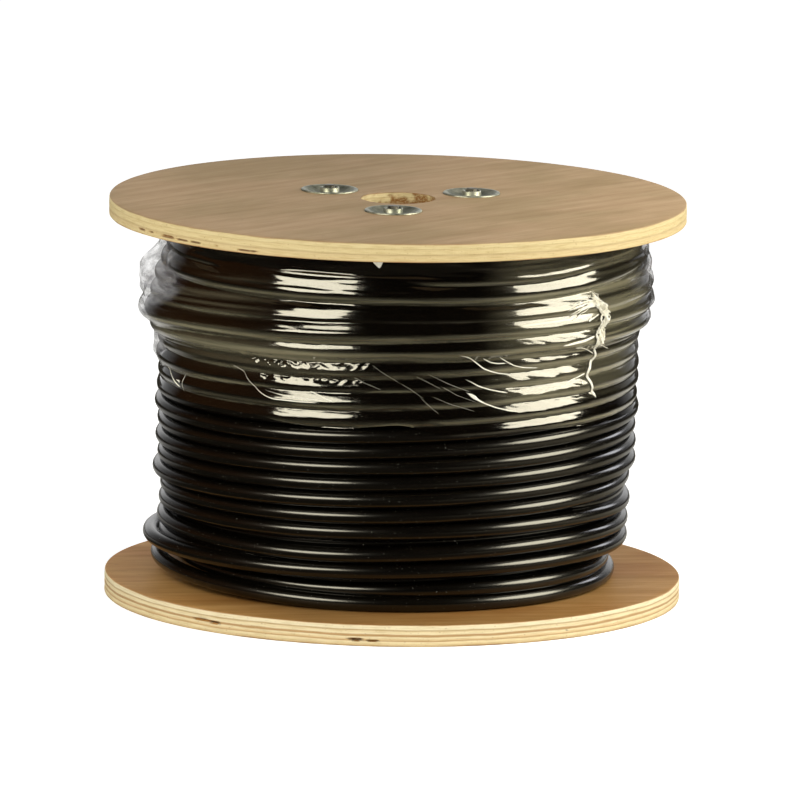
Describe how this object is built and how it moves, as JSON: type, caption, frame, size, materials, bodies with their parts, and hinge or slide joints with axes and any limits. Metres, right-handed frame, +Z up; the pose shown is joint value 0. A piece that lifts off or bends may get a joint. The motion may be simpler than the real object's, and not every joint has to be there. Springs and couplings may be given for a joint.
{
  "type": "wooden cable drum",
  "caption": "Small plywood cable drum standing on its flange, wound full of black cable, its upper turns wrapped in clear stretch film.",
  "frame": {"origin": "centre of the lower flange's underside, on the floor", "axes": "+Z up along the drum's axis; -Y towards the side that the picture shows, +X to its right"},
  "size_m": [0.3999, 0.4, 0.2815],
  "materials": {
    "plywood": "bare sanded plywood, reddish faces and pale layered edges",
    "fibre_board": "wound brown fibre tube",
    "cable_jacket": "smooth black cable jacket, satin gloss",
    "film": "clear stretch film, many wrinkled layers",
    "bolt_steel": "dark threaded steel",
    "zinc_steel": "bright zinc plated steel"
  },
  "bodies": {
    "root": {"upper_flange": "plywood", "lower_flange": "plywood", "barrel": "fibre_board", "cable_winding": "cable_jacket", "stretch_film": "film", "tie_bolt_1": "bolt_steel", "tie_bolt_2": "bolt_steel", "tie_bolt_3": "bolt_steel", "cup_nuts": "zinc_steel"}
  },
  "joints": []
}
